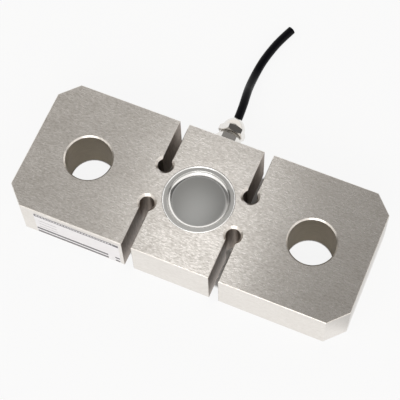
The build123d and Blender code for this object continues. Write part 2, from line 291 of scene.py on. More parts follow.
@dataclass(frozen=True)
class GroundSteel:
    """Surface-ground stainless plate: grain along its length, wire-cut slots and bored eyes."""

    name: str = "ground_stainless"
    pale: Colour = (0.95, 0.91, 0.865)
    deep: Colour = (0.62, 0.585, 0.54)
    wire_cut: Colour = (0.34, 0.29, 0.25)
    bored: Colour = (0.66, 0.61, 0.53)
    slot_x: float = 0.030735
    slot_half: float = 0.0034
    keyhole_y: float = 0.015
    keyhole_radius: float = 0.005
    eye_x: float = 0.08
    eye_radius: float = 0.016
    cut_margin: float = 0.00012
    across_lay: Point = (0.0, 0.7071, 0.7071)
    lay_strength: float = 0.55
    fine_grain: Point = (900.0, 3200.0, 3200.0)
    streak_grain: Point = (460.0, 1250.0, 1250.0)
    streak_shift: Point = (3.1, 7.7, 1.3)
    cloud_grain: Point = (40.0, 70.0, 70.0)
    cloud_shift: Point = (5.0, 2.0, 9.0)
    pit_grain: Point = (1900.0, 1900.0, 1900.0)
    drag_grain: Point = (1400.0, 1400.0, 120.0)
    turned_grain: Point = (120.0, 120.0, 4200.0)
    tone_shares: tuple[float, float, float] = (0.25, 0.60, 0.15)
    tone_span: tuple[float, float] = (0.38, 0.62)
    wall_span: tuple[float, float] = (0.35, 0.65)
    roughness: tuple[float, float] = (0.34, 0.24)
    cut_roughness: float = 0.22
    fine_depth: float = 0.000008
    streak_depth: float = 0.00002
    pit_depth: float = 0.00006
    upright_share: float = 0.3
    upright_below: float = 0.35

    def material(self) -> bpy.types.Material:
        """Builds the material.

        Returns:
            The material.
        """
        shader = Shader(self.name)
        fine = shader.noise(shader.stretched(self.fine_grain), 4.0, 0.6)
        streaks = shader.noise(shader.stretched(self.streak_grain, self.streak_shift), 3.0, 0.55)
        clouds = shader.noise(shader.stretched(self.cloud_grain, self.cloud_shift), 2.0, 0.5)
        parts = [shader.math("MULTIPLY", pattern, share)
                 for pattern, share in zip((fine, streaks, clouds), self.tone_shares)]
        tone = shader.math("ADD", shader.math("ADD", parts[0], parts[1]), parts[2])
        facing_up = shader.math("ABSOLUTE", shader.split(shader.facing)[2])
        flat = shader.range(facing_up, 0.3, 0.9, self.upright_share, 1.0)
        tone = shader.math("ADD", shader.math("MULTIPLY", shader.math("SUBTRACT", tone, 0.5), flat), 0.5)
        colour = shader.blend(shader.range(tone, *self.tone_span, 0.0, 1.0), self.deep, self.pale)
        roughness = shader.range(tone, 0.3, 0.7, *self.roughness)
        wire_cut, bored = self.masks(shader)
        pits = shader.noise(shader.stretched(self.pit_grain), 3.0, 0.6)
        drag = shader.noise(shader.stretched(self.drag_grain), 3.0, 0.6)
        cut_tone = shader.blend(shader.range(drag, *self.wall_span, 0.0, 1.0), darker(self.wire_cut, 0.75),
                                darker(self.wire_cut, 1.25))
        colour = shader.blend(wire_cut, colour, cut_tone)
        turned = shader.noise(shader.stretched(self.turned_grain), 3.0, 0.6)
        bored_tone = shader.blend(shader.range(turned, *self.wall_span, 0.0, 1.0), darker(self.bored, 0.85),
                                  darker(self.bored, 1.1))
        colour = shader.blend(bored, colour, bored_tone)
        roughness = shader.math("ADD", roughness, shader.math("MULTIPLY", wire_cut, self.cut_roughness))
        relief = shader.bump(fine, self.fine_depth, 0.8)
        relief = shader.bump(shader.math("MULTIPLY", streaks, flat), self.streak_depth, 0.8, relief)
        relief = shader.bump(shader.math("MULTIPLY", pits, wire_cut), self.pit_depth, 0.6, relief)
        lay = shader.add("ShaderNodeCombineXYZ")
        for socket, part in zip(lay.inputs, self.across_lay):
            socket.default_value = part
        shader.set(Base_Color=colour, Metallic=Sheen.BARE_METAL.value, Roughness=roughness, Normal=relief,
                   Anisotropic=self.lay_strength, Tangent=lay.outputs[0])
        return shader.material

    def masks(self, shader: Shader) -> tuple[bpy.types.NodeSocket, bpy.types.NodeSocket]:
        """Finds the upright walls of the slots with their keyholes, and of the eyes.

        Args:
            shader: the material being built.

        Returns:
            1 on the slots' walls, and 1 on the eyes' walls.
        """
        x, y, _ = shader.split(shader.place)
        facing_z = shader.split(shader.facing)[2]
        upright = shader.math("LESS_THAN", shader.math("ABSOLUTE", facing_z), self.upright_below)
        along = shader.math("ABSOLUTE", x)
        across = shader.math("ABSOLUTE", y)
        from_slot = shader.math("ABSOLUTE", shader.math("SUBTRACT", along, self.slot_x))
        past_hole = shader.math("SUBTRACT", across, self.keyhole_y)
        in_slot = shader.math("MULTIPLY",
                              shader.math("LESS_THAN", from_slot, self.slot_half + self.cut_margin),
                              shader.math("GREATER_THAN", past_hole, 0.0))
        from_hole = self.distance(shader, from_slot, past_hole)
        in_hole = shader.math("LESS_THAN", from_hole, self.keyhole_radius + self.cut_margin)
        from_eye = self.distance(shader, shader.math("SUBTRACT", along, self.eye_x), y)
        in_eye = shader.math("LESS_THAN", from_eye, self.eye_radius + self.cut_margin)
        slots = shader.math("MULTIPLY", shader.math("MAXIMUM", in_slot, in_hole), upright)
        return slots, shader.math("MULTIPLY", in_eye, upright)

    @staticmethod
    def distance(shader: Shader, first: bpy.types.NodeSocket,
                 second: bpy.types.NodeSocket) -> bpy.types.NodeSocket:
        """The length of two numbers taken as the sides of a right angle.

        Args:
            shader: the material being built.
            first: one side.
            second: the other side.

        Returns:
            The length.
        """
        squares = shader.math("ADD", shader.math("MULTIPLY", first, first),
                              shader.math("MULTIPLY", second, second))
        return shader.math("SQRT", squares)


@dataclass(frozen=True)
class TurnedCover:
    """A pressed stainless cover: satin floor and band, with a turned wall and lip in a near-white colour
    that is partly their smoother turned finish and partly painted highlight.

    The bow gives the floor the faint crown of a pressed sheet, in the shading alone.
    """

    name: str = "turned_stainless"
    satin: Colour = (0.385, 0.385, 0.375)
    band: Colour = (0.45, 0.445, 0.43)
    # near-white colour of the turned wall and lip: partly their smoother finish, partly painted highlight
    bright: Colour = (0.90, 0.90, 0.89)
    floor_radius: float = 0.0181
    shoulder_radius: float = 0.0211
    lip_radius: float = 0.0235
    edge: float = 0.0003
    bow: float = -2.2
    lathe_pitch: float = 3600.0
    grain: Point = (2600.0, 2600.0, 2600.0)
    grain_depth: float = 0.000003
    roughness: tuple[float, float] = (0.30, 0.15)

    def material(self) -> bpy.types.Material:
        """Builds the material.

        Returns:
            The material.
        """
        shader = Shader(self.name)
        x, y, _ = shader.split(shader.place)
        radius = GroundSteel.distance(shader, x, y)
        rings = shader.add("ShaderNodeCombineXYZ")
        shader.feed(rings.inputs[0], shader.math("MULTIPLY", radius, self.lathe_pitch))
        lathe = shader.noise(rings.outputs[0], 3.0, 0.6)
        grain = shader.noise(shader.stretched(self.grain), 3.0, 0.6)
        past_floor = shader.range(radius, self.floor_radius, self.floor_radius + self.edge, 0.0, 1.0)
        before_band = shader.range(radius, self.shoulder_radius - self.edge, self.shoulder_radius, 1.0, 0.0)
        on_lip = shader.range(radius, self.lip_radius - self.edge, self.lip_radius, 0.0, 1.0)
        turned = shader.math("MAXIMUM", shader.math("MULTIPLY", past_floor, before_band), on_lip)
        satin = shader.blend(grain, darker(self.satin, 0.94), darker(self.satin, 1.06))
        on_band = shader.range(radius, self.shoulder_radius - self.edge, self.shoulder_radius, 0.0, 1.0)
        satin = shader.blend(on_band, satin, self.band)
        # turned wall and lip: smoother finish, with painted highlight in their near-white colour
        bright = shader.blend(lathe, darker(self.bright, 0.93), darker(self.bright, 1.05))
        roughness = shader.range(turned, 0.0, 1.0, *self.roughness)
        held = shader.math("MINIMUM", radius, self.floor_radius)
        bowed = shader.math("MULTIPLY", shader.math("MULTIPLY", held, held), self.bow)
        relief = shader.bump(bowed, 1.0)
        relief = shader.bump(grain, self.grain_depth, 0.5, relief)
        relief = shader.bump(lathe, self.grain_depth, 0.5, relief)
        shader.set(Base_Color=shader.blend(turned, satin, bright), Metallic=Sheen.BARE_METAL.value,
                   Roughness=roughness, Normal=relief)
        return shader.material


@dataclass(frozen=True)
class PlainFinish:
    """A finish with a fine two-tone pattern, for plated, moulded, rolled and drawn pieces."""

    name: str
    colour: Colour
    spread: float = 0.12
    sheen: Sheen = Sheen.NOT_METAL
    roughness: float = 0.45
    roughness_spread: float = 0.08
    grain: Point = (900.0, 900.0, 900.0)
    relief: float = 0.00001
    clear: float = 0.0
    coat: float = 0.0
    specular: float = 0.5
    ior: float = 1.5

    def material(self) -> bpy.types.Material:
        """Builds the material.

        Returns:
            The material.
        """
        shader = Shader(self.name)
        fine = shader.noise(shader.stretched(self.grain), 4.0, 0.6)
        broad = shader.noise(shader.stretched(tuple(part * 0.12 for part in self.grain), (4.0, 1.0, 2.0)))
        tone = shader.math("ADD", shader.math("MULTIPLY", fine, 0.6), shader.math("MULTIPLY", broad, 0.4))
        share = shader.range(tone, 0.3, 0.7, 0.0, 1.0)
        colour = shader.blend(share, darker(self.colour, 1 - self.spread),
                              darker(self.colour, 1 + self.spread))
        roughness = shader.range(tone, 0.3, 0.7, self.roughness + self.roughness_spread / 2,
                                 self.roughness - self.roughness_spread / 2)
        shader.set(Base_Color=colour, Metallic=self.sheen.value, Roughness=roughness,
                   Normal=shader.bump(fine, self.relief, 0.6),
                   Transmission_Weight=self.clear, Coat_Weight=self.coat, Specular_IOR_Level=self.specular,
                   IOR=self.ior)
        return shader.material


@dataclass(frozen=True)
class BandedResistor:
    """A resistor's lacquered body with its colour bands, and tinned legs."""

    name: str
    centre: Point
    axis: Axis
    body: Colour = (0.16, 0.36, 0.46)
    legs: Colour = (0.74, 0.73, 0.70)
    bands: tuple[Colour, ...] = (
        (0.30, 0.10, 0.03),
        (0.02, 0.02, 0.02),
        (0.55, 0.06, 0.03),
        (0.62, 0.42, 0.08),
    )
    band_pitch: float = 0.0011
    band_half: float = 0.00028
    body_half: float = 0.0031
    leg_margin: float = 0.00002

    def material(self) -> bpy.types.Material:
        """Builds the material.

        Returns:
            The material.
        """
        shader = Shader(self.name)
        along = shader.split(shader.place)[self.axis.value]
        along = shader.math("SUBTRACT", along, self.centre[self.axis.value])
        speckle = shader.noise(shader.stretched((2500.0, 2500.0, 2500.0)), 3.0, 0.6)
        colour = shader.blend(speckle, darker(self.body, 0.88), darker(self.body, 1.12))
        for index, band in enumerate(self.bands):
            middle = (index - (len(self.bands) - 1) / 2) * self.band_pitch
            from_band = shader.math("ABSOLUTE", shader.math("SUBTRACT", along, middle))
            colour = shader.blend(shader.math("LESS_THAN", from_band, self.band_half), colour, band)
        from_middle = shader.math("ABSOLUTE", along)
        on_legs = shader.math("GREATER_THAN", from_middle, self.body_half + self.leg_margin)
        colour = shader.blend(on_legs, colour, self.legs)
        shader.set(Base_Color=colour, Metallic=on_legs,
                   Roughness=shader.range(speckle, 0.3, 0.7, 0.32, 0.24),
                   Normal=shader.bump(speckle, 0.000008, 0.5))
        return shader.material


@dataclass(frozen=True)
class RuledPrint:
    """Grey print: solid bars, a head bar with blank cells in it, and fainter ruled rows."""

    name: str = "label_print_grey"
    ink: Colour = (0.11, 0.105, 0.115)
    faint: Colour = (0.36, 0.35, 0.36)
    blank: Colour = (0.78, 0.76, 0.78)
    cell_low: float = 0.02780
    cell_high: float = 0.02920
    cell_left: float = -0.0970
    cell_right: float = -0.0425
    cell_pitch: float = 0.0021
    cell_share: float = 0.74
    rows_low: float = 0.0105
    rows_high: float = 0.0260

    def material(self) -> bpy.types.Material:
        """Builds the material.

        Returns:
            The material.
        """
        shader = Shader(self.name)
        x, _, z = shader.split(shader.place)
        mottle = shader.noise(shader.stretched((1200.0, 1200.0, 1200.0)), 3.0, 0.6)
        ink = shader.blend(mottle, darker(self.ink, 0.85), darker(self.ink, 1.2))
        in_cell = self.between(shader, z, self.cell_low, self.cell_high)
        in_cell = shader.math("MULTIPLY", in_cell, self.between(shader, x, self.cell_left, self.cell_right))
        steps = shader.math("DIVIDE", shader.math("SUBTRACT", x, self.cell_left), self.cell_pitch)
        open_part = shader.math("LESS_THAN", shader.math("FRACT", steps), self.cell_share)
        row = self.between(shader, z, self.rows_low, self.rows_high)
        colour = shader.blend(shader.math("MULTIPLY", in_cell, open_part), ink, self.blank)
        shader.set(Base_Color=shader.blend(row, colour, self.faint), Metallic=Sheen.NOT_METAL.value,
                   Roughness=shader.range(mottle, 0.3, 0.7, 0.52, 0.44))
        return shader.material

    @staticmethod
    def between(shader: Shader, value: bpy.types.NodeSocket, low: float,
                high: float) -> bpy.types.NodeSocket:
        """Tells where a number lies between two others.

        Args:
            shader: the material being built.
            value: the number.
            low: the lower one.
            high: the higher one.

        Returns:
            1 between them, and 0 elsewhere.
        """
        return shader.math("MULTIPLY", shader.math("GREATER_THAN", value, low),
                           shader.math("LESS_THAN", value, high))


@dataclass(frozen=True)
class FloorPaper:
    """The pale floor: near white to the camera and in the metal, with a real shadow under the plate; in the
    metal it glows in the slots as painted light, and glows dimmer right of the plate as painted shade.
    """

    name: str = "pale_floor"
    colour: Colour = (0.90, 0.90, 0.90)
    seen: Colour = (0.985, 0.985, 0.985)
    camera_share: float = 0.90
    glossy_share: float = 0.95
    mirror_glow: float = 1.06
    right_shaded_glow: float = 0.70
    glow_fade: float = 0.01
    # glow of the floor inside the slots, seen in the metal: painted light on the slot walls
    slot_glow: float = 0.85
    plate_half: tuple[float, float] = (0.1185, 0.0475)
    corner_cut: tuple[float, float] = (0.012, 0.0125)
    slot_x: float = 0.030735
    slot_half: float = 0.0034
    slot_start: float = 0.012
    slot_mouth: float = 0.041
    keyhole_y: float = 0.015
    keyhole_radius: float = 0.0048
    rear_shade: float = 0.064
    shade_margin: float = 0.004
    eye_x: float = 0.08
    eye_radius: float = 0.0158
    soft_edge: float = 0.002

    def material(self) -> bpy.types.Material:
        """Builds the material.

        Returns:
            The material.
        """
        shader = Shader(self.name)
        rays = shader.add("ShaderNodeLightPath")
        glow = shader.add("ShaderNodeEmission")
        shader.feed(glow.inputs["Color"], self.seen)
        fibres = shader.noise(shader.stretched((300.0, 300.0, 300.0)), 3.0, 0.6)
        shader.set(Base_Color=shader.blend(fibres, darker(self.colour, 0.99), self.colour), Roughness=0.9,
                   Specular_IOR_Level=0.0)
        x, y, _ = shader.split(shader.place)
        # the floor's glow in the metal drops past the plate's right end: painted shade
        right_painted_shade = shader.range(x, self.plate_half[0], self.plate_half[0] + self.glow_fade,
                                  self.mirror_glow, self.right_shaded_glow)
        strength = shader.range(rays.outputs["Is Camera Ray"], 0.0, 1.0, right_painted_shade, 1.0)
        shader.feed(glow.inputs["Strength"], strength)
        along, across = shader.math("ABSOLUTE", x), shader.math("ABSOLUTE", y)
        beside = shader.math("MAXIMUM", self.outside(shader, along, self.plate_half[0]),
                             self.outside(shader, across, self.plate_half[1]))
        corner = shader.math("ADD", shader.math("DIVIDE", along, self.corner_cut[0]),
                             shader.math("DIVIDE", across, self.corner_cut[1]))
        reach = sum(half / cut for half, cut in zip(self.plate_half, self.corner_cut)) - 1.0
        beside = shader.math("MAXIMUM", beside, shader.math("GREATER_THAN", corner, reach))
        from_slot = shader.math("ABSOLUTE", shader.math("SUBTRACT", along, self.slot_x))
        in_slot = shader.math("MULTIPLY", shader.math("LESS_THAN", from_slot, self.slot_half),
                              shader.math("LESS_THAN", y, -self.slot_start))
        from_hole = GroundSteel.distance(shader, from_slot, shader.math("ADD", y, self.keyhole_y))
        in_slot = shader.math("MAXIMUM", in_slot, shader.math("LESS_THAN", from_hole, self.keyhole_radius))
        in_mouth = shader.math("MULTIPLY", in_slot, self.outside(shader, across, self.slot_mouth))
        beside = shader.math("MAXIMUM", beside, in_mouth)
        behind_slot = shader.math("MULTIPLY",
                                  shader.math("LESS_THAN", from_slot, self.slot_half + self.shade_margin),
                                  shader.math("MULTIPLY", shader.math("GREATER_THAN", y, self.slot_start),
                                              shader.math("LESS_THAN", y, self.rear_shade)))
        lit = shader.math("SUBTRACT", beside, behind_slot, clamp=True)
        from_eye = GroundSteel.distance(shader, shader.math("SUBTRACT", along, self.eye_x), y)
        in_eye = shader.math("LESS_THAN", from_eye, self.eye_radius)
        mirrored = shader.math("MAXIMUM", rays.outputs["Is Glossy Ray"], rays.outputs["Is Transmission Ray"])
        to_camera = shader.math("MULTIPLY", rays.outputs["Is Camera Ray"], self.camera_share)
        to_metal = shader.math("MULTIPLY", mirrored, self.glossy_share)
        bare = shader.math("MAXIMUM", beside, in_eye)
        # the floor in the slots glows for the metal: painted light on the slot walls
        bright = shader.math("MAXIMUM", lit, shader.math("MULTIPLY", in_slot, self.slot_glow))
        share = shader.math("MAXIMUM", shader.math("MULTIPLY", to_camera, bare),
                            shader.math("MULTIPLY", to_metal, bright))
        mix = shader.add("ShaderNodeMixShader")
        shader.feed(mix.inputs[0], share)
        shader.tree.links.new(shader.surface.outputs[0], mix.inputs[1])
        shader.tree.links.new(glow.outputs[0], mix.inputs[2])
        shader.tree.links.new(mix.outputs[0], shader.tree.nodes["Material Output"].inputs["Surface"])
        return shader.material

    def outside(self, shader: Shader, value: bpy.types.NodeSocket, half: float) -> bpy.types.NodeSocket:
        """Tells how far out of the plate's outline a place on the floor is.

        Args:
            shader: the material being built.
            value: the distance from the middle on one axis.
            half: the plate's half size there.

        Returns:
            0 under the plate, and 1 past its edge.
        """
        return shader.range(value, half - self.soft_edge, half, 0.0, 1.0)


# ---------------------------------------------------------------------------
# Mesh helpers
# ---------------------------------------------------------------------------


class Workshop:
    """Turns finished bmeshes into pieces of the object."""

    @staticmethod
    def piece(name: str, mesh: bmesh.types.BMesh, material: bpy.types.Material, slot: str | None,
              sharp_from: float = 30.0) -> bpy.types.Object:
        """Makes a piece that rides on the load cell.

        Args:
            name: the piece's name.
            mesh: its shape, in place.
            material: its finish.
            slot: not used.
            sharp_from: the angle in degrees from which an edge stays sharp.

        Returns:
            The piece.
        """
        bmesh.ops.recalc_face_normals(mesh, faces=mesh.faces)
        data = bpy.data.meshes.new(name)
        mesh.to_mesh(data)
        mesh.free()
        data.materials.append(material)
        for polygon in data.polygons:
            polygon.use_smooth = True
        data.set_sharp_from_angle(angle=radians(sharp_from))
        made = bpy.data.objects.new(name, data)
        bpy.context.scene.collection.objects.link(made)
        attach(made, BODY)
        LOG.info("made %s, %d faces", name, len(data.polygons))
        return made

    @staticmethod
    def spun(mesh: bmesh.types.BMesh, profile: list[tuple[float, float]], centre: Point,
             steps: int = 64) -> None:
        """Spins a closed outline round the Y axis through a point.

        Args:
            mesh: what it is added to.
            profile: (radius, distance along Y) points of the closed outline.
            centre: the point.
            steps: how many steps a turn has.
        """
        corners = [mesh.verts.new((centre[0] + radius, centre[1] + along, centre[2]))
                   for radius, along in profile]
        edges = [mesh.edges.new(pair) for pair in zip(corners, corners[1:] + corners[:1])]
        bmesh.ops.spin(mesh, geom=corners + edges, cent=centre, axis=(0.0, 1.0, 0.0), angle=2 * pi,
                       steps=steps, use_merge=True)

    @staticmethod
    def rod(mesh: bmesh.types.BMesh, end: Vector, along: Vector, radius: float, length: float) -> None:
        """Adds a short rod with a broken edge at its outer end.

        Args:
            mesh: what it is added to.
            end: the middle of its outer end.
            along: the direction that it points out in.
            radius: its radius.
            length: its length.
        """
        turn = along.to_track_quat("Z", "Y").to_matrix().to_4x4()
        place = Matrix.Translation(end - along * length / 2) @ turn
        made = bmesh.ops.create_cone(mesh, cap_ends=True, segments=32, radius1=radius, radius2=radius,
                                     depth=length, matrix=place)["verts"]
        outer = [vert for vert in made if (vert.co - end).dot(along) > -length / 4]
        rim = [edge for edge in mesh.edges if all(vert in outer for vert in edge.verts)]
        bmesh.ops.bevel(mesh, geom=rim, offset=radius * 0.12, offset_type="OFFSET", segments=2,
                        profile=0.5, affect="EDGES", material=-1)

    @staticmethod
    def dress(frame: dict, finish: bpy.types.Material, *nodes: str) -> None:
        """Gives CAD nodes a finish.

        Args:
            frame: the loaded frame.
            finish: the material.
            nodes: the nodes' names.
        """
        for name in nodes:
            slots = frame["nodes"][name].material_slots
            for slot in slots:
                slot.material = finish
            LOG.info("dressed %s in %s", name, finish.name)


# ---------------------------------------------------------------------------
# Studio
# ---------------------------------------------------------------------------


@dataclass(frozen=True)
class SoftPanel:
    """A soft lamp: where it hangs, the point it faces, its width and length, and how bright it is.

    A radiance of 1 is white.
    """

    name: str
    place: Point
    aim: Point
    size: tuple[float, float]
    radiance: float


@dataclass
class Studio:
    """The camera, the floor, the lamps and the sky around the load cell."""

    azimuth: float = 25.623
    elevation: float = 65.306
    roll: float = -2.984
    target: Point = (-0.005951, 0.014482, 0.0)
    distance: float = 0.91603
    focal_pixels: float = 1331.31
    image_side: float = 400.0
    sensor: float = 36.0
    floor_half: float = 3.0
    floor_z: float = -0.00005
    white: Colour = (0.957, 0.957, 0.957)
    sky_colour: Colour = (1.0, 0.975, 0.945)
    panels: tuple[SoftPanel, ...] = (
        SoftPanel("band_panel", (-0.075, 0.128, 0.485), (-0.075, 0.128, 0.0), (0.122, 0.20), 1.10),
        SoftPanel("front_panel", (0.2, -1.1, 0.8), (0.0, 0.0, 0.02), (1.2, 0.7), 1.5),
    )

    def build_camera(self) -> None:
        """Places the camera where the photograph was taken from."""
        across, up = radians(self.azimuth), radians(self.elevation)
        back = Vector((sin(across) * cos(up), -cos(across) * cos(up), sin(up)))
        level = Vector((cos(across), sin(across), 0.0))
        upright = back.cross(level)
        turn = radians(self.roll)
        right = cos(turn) * level + sin(turn) * upright
        top = -sin(turn) * level + cos(turn) * upright
        lens = bpy.data.cameras.new("camera")
        lens.sensor_width = self.sensor
        lens.lens = self.focal_pixels / self.image_side * self.sensor
        lens.clip_start, lens.clip_end = 0.05, 20.0
        camera = bpy.data.objects.new("camera", lens)
        place = Matrix((right, top, back)).transposed().to_4x4()
        place.translation = Vector(self.target) + self.distance * back
        camera.matrix_world = place
        bpy.context.scene.collection.objects.link(camera)
        bpy.context.scene.camera = camera
        LOG.info("camera at %s", [round(part, 4) for part in place.translation])

    def build_floor(self) -> None:
        """Lays the floor."""
        mesh = bmesh.new()
        bmesh.ops.create_grid(mesh, x_segments=1, y_segments=1, size=self.floor_half)
        bmesh.ops.translate(mesh, vec=(0.0, 0.0, self.floor_z), verts=mesh.verts)
        data = bpy.data.meshes.new("floor")
        mesh.to_mesh(data)
        mesh.free()
        data.materials.append(FloorPaper().material())
        floor = bpy.data.objects.new("floor", data)
        bpy.context.scene.collection.objects.link(floor)

    def build_sky(self) -> None:
        """Makes the sky: a white front and back low down, and a greyer top that falls off to the right."""
        world = bpy.data.worlds.new("studio")
        bpy.context.scene.world = world
        world.use_nodes = True
        tree = world.node_tree
        base = tree.nodes["Background"]
        place = tree.nodes.new("ShaderNodeTexCoord").outputs["Generated"]

        def ramp(direction: Point, low: float, high: float,
                 ends: tuple[float, float]) -> bpy.types.NodeSocket:
            """Light that grows smoothly towards one side of the sky.

            Args:
                direction: the side.
                low: how far towards it the growth starts.
                high: how far towards it the growth stops.
                ends: the light before and after.

            Returns:
                The light.
            """
            along = tree.nodes.new("ShaderNodeVectorMath")
            along.operation = "DOT_PRODUCT"
            tree.links.new(place, along.inputs[0])
            along.inputs[1].default_value = direction
            node = tree.nodes.new("ShaderNodeMapRange")
            node.interpolation_type = "SMOOTHSTEP"
            tree.links.new(along.outputs["Value"], node.inputs[0])
            for socket, part in zip(node.inputs[1:5], (low, high, *ends)):
                socket.default_value = part
            return node.outputs[0]

        level = ramp((1.0, 0.0, 0.0), -0.30, -0.06, (0.50, 0.27))
        right = ramp((1.0, 0.0, 0.0), 0.05, 0.36, (0.0, 0.16))
        crown = ramp((0.0, 1.0, 0.0), 0.06, 0.27, (0.35, 1.0))
        front = ramp((0.32, -0.93, -0.35), -0.22, 0.02, (0.0, 1.05))
        back = ramp((0.0, 0.90, -0.40), 0.26, 0.35, (0.0, 1.05))
        steps = (("SUBTRACT", right), ("MULTIPLY", crown), ("MAXIMUM", front), ("MAXIMUM", back))
        for operation, part in steps:
            node = tree.nodes.new("ShaderNodeMath")
            node.operation = operation
            tree.links.new(level, node.inputs[0])
            tree.links.new(part, node.inputs[1])
            level = node.outputs[0]
        tree.links.new(level, base.inputs["Strength"])
        base.inputs["Color"].default_value = (*self.sky_colour, 1.0)
        seen = tree.nodes.new("ShaderNodeBackground")
        seen.inputs["Color"].default_value = (*self.white, 1.0)
        rays = tree.nodes.new("ShaderNodeLightPath")
        mix = tree.nodes.new("ShaderNodeMixShader")
        tree.links.new(rays.outputs["Is Camera Ray"], mix.inputs[0])
        tree.links.new(base.outputs[0], mix.inputs[1])
        tree.links.new(seen.outputs[0], mix.inputs[2])
        tree.links.new(mix.outputs[0], tree.nodes["World Output"].inputs["Surface"])

    def build_lamp(self, panel: SoftPanel) -> None:
        """Hangs one soft panel.

        Args:
            panel: the panel.
        """
        light = bpy.data.lights.new(panel.name, "AREA")
        light.shape = "RECTANGLE"
        light.size, light.size_y = panel.size
        light.energy = panel.radiance * pi * panel.size[0] * panel.size[1]
        lamp = bpy.data.objects.new(panel.name, light)
        away = Vector(panel.place) - Vector(panel.aim)
        turn = away.to_track_quat("Z", "Y")
        lamp.matrix_world = Matrix.Translation(panel.place) @ turn.to_matrix().to_4x4()
        lamp.visible_camera = False
        bpy.context.scene.collection.objects.link(lamp)

    def build_lamps(self) -> None:
        """Hangs the lamps."""
        for panel in self.panels:
            self.build_lamp(panel)


# ---------------------------------------------------------------------------
# Sub-assemblies
# ---------------------------------------------------------------------------


@dataclass
class Cable:
    """The free cable, from the gland's mouth to its clean cut."""

    radius: float = 0.00305
    length: float = 0.0976
    route: tuple[Point, ...] = (
        (-0.0020, 0.0721, 0.01775),
        (-0.0026, 0.0840, 0.01760),
        (-0.0045, 0.0955, 0.01470),
        (-0.0064, 0.1064, 0.00780),
        (-0.0072, 0.1178, 0.00305),
        (-0.0064, 0.1298, 0.00305),
        (-0.0041, 0.1418, 0.00305),
        (-0.0009, 0.1532, 0.00305),
        (0.0034, 0.1636, 0.00305),
    )
    gland_nodes: tuple[str, ...] = (
        "cable_in_gland", "gland_washer", "gland_body", "gland_claw", "gland_seal", "gland_dome_nut")
    jacket: PlainFinish = PlainFinish("cable_jacket_pvc", (0.004, 0.004, 0.006), 0.25, roughness=0.30,
                                      grain=(1600.0, 260.0, 1600.0), relief=0.000012, ior=1.18)
    filler: PlainFinish = PlainFinish("cable_filler", (0.55, 0.54, 0.50), 0.15, roughness=0.7)
    copper: PlainFinish = PlainFinish("core_copper", (0.78, 0.40, 0.24), 0.10, Sheen.BARE_METAL, 0.3)
    tinned: PlainFinish = PlainFinish("braid_tinned", (0.70, 0.69, 0.67), 0.30, Sheen.BARE_METAL, 0.35,
                                      grain=(5200.0, 5200.0, 5200.0), relief=0.00004)
    core_colours: tuple[tuple[str, Colour], ...] = (
        ("core_red", (0.55, 0.02, 0.02)),
        ("core_black", (0.015, 0.015, 0.015)),
        ("core_green", (0.02, 0.28, 0.07)),
        ("core_white", (0.78, 0.78, 0.75)),
    )
    braid_radius: float = 0.00225
    filler_radius: float = 0.00200
    core_radius: float = 0.00066
    core_ring: float = 0.00105
    strand_radius: float = 0.00034
    proud: float = 0.00006
    sunk: float = 0.0008

    def build(self, frame: dict) -> None:
        """Args:
            frame: the loaded frame.
        """
        jacket = self.jacket.material()
        line = bpy.data.curves.new("free_cable", "CURVE")
        line.dimensions = "3D"
        spline = line.splines.new("NURBS")
        spline.points.add(len(self.route) - 1)
        for point, place in zip(spline.points, self.route):
            point.co = (*place, 1.0)
        spline.order_u = 3
        spline.use_endpoint_u = True
        line.resolution_u = 24
        line.bevel_depth = self.radius
        line.bevel_resolution = 8
        line.use_fill_caps = True
        line.materials.append(jacket)
        cable = bpy.data.objects.new("free_cable", line)
        bpy.context.scene.collection.objects.link(cable)
        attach(cable, BODY)
        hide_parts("cable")
        ends = self.build_cut_end()
        Workshop.dress(frame, jacket, "cable_in_gland", "cable")
        LOG.info("made free_cable on %d points", len(self.route))

    def build_cut_end(self) -> list[bpy.types.Object]:
        """Makes what the clean cut shows: the braid, the filler and four cores.

        Returns:
            The pieces.
        """
        end, before = Vector(self.route[-1]), Vector(self.route[-2])
        along = (end - before).normalized()
        side = along.cross(Vector((0.0, 0.0, 1.0)))
        made = [self.rod_piece("cable_end_braid", end + along * self.proud, along, self.braid_radius,
                               self.tinned, "tinned_wire"),
                self.rod_piece("cable_end_filler", end + along * 2 * self.proud, along, self.filler_radius,
                               self.filler, None)]
        for index, (name, colour) in enumerate(self.core_colours):
            turn = radians(45 + 90 * index)
            middle = end + self.core_ring * (cos(turn) * side + sin(turn) * along.cross(side))
            cover = PlainFinish(f"{name}_cover", colour, 0.08, roughness=0.4)
            made.append(self.rod_piece(f"cable_end_{name}", middle + along * 3 * self.proud, along,
                                       self.core_radius, cover, name))
            made.append(self.rod_piece(f"cable_end_{name}_copper", middle + along * 4 * self.proud, along,
                                       self.strand_radius, self.copper, None))
        return made

    def rod_piece(self, name: str, end: Vector, along: Vector, radius: float, finish: PlainFinish,
                  slot: str | None) -> bpy.types.Object:
        """Makes one rod of the cut end.

        Args:
            name: the piece's name.
            end: the middle of its outer end.
            along: the direction that it points out in.
            radius: its radius.
            finish: its finish.
            slot: the record's material slot, if it has one.

        Returns:
            The piece.
        """
        mesh = bmesh.new()
        Workshop.rod(mesh, end, along, radius, self.sunk)
        return Workshop.piece(name, mesh, finish.material(), slot)


@dataclass
class SpringBody:
    """The steel plate."""

    finish: GroundSteel = GroundSteel()

    def build(self, frame: dict) -> None:
        """Dresses the plate.

        Args:
            frame: the loaded frame.
        """
        Workshop.dress(frame, self.finish.material(), "plate_body")


@dataclass
class CavityCovers:
    """The two covers and the rings under them."""

    finish: TurnedCover = TurnedCover()
    seal: PlainFinish = PlainFinish("cover_seal_silicone", (0.45, 0.10, 0.06), roughness=0.5)

    def build(self, frame: dict) -> None:
        """Dresses the covers and their rings.

        Args:
            frame: the loaded frame.
        """
        Workshop.dress(frame, self.finish.material(), "top_cover", "bottom_cover")
        Workshop.dress(frame, self.seal.material(), "top_cover_seal", "bottom_cover_seal")


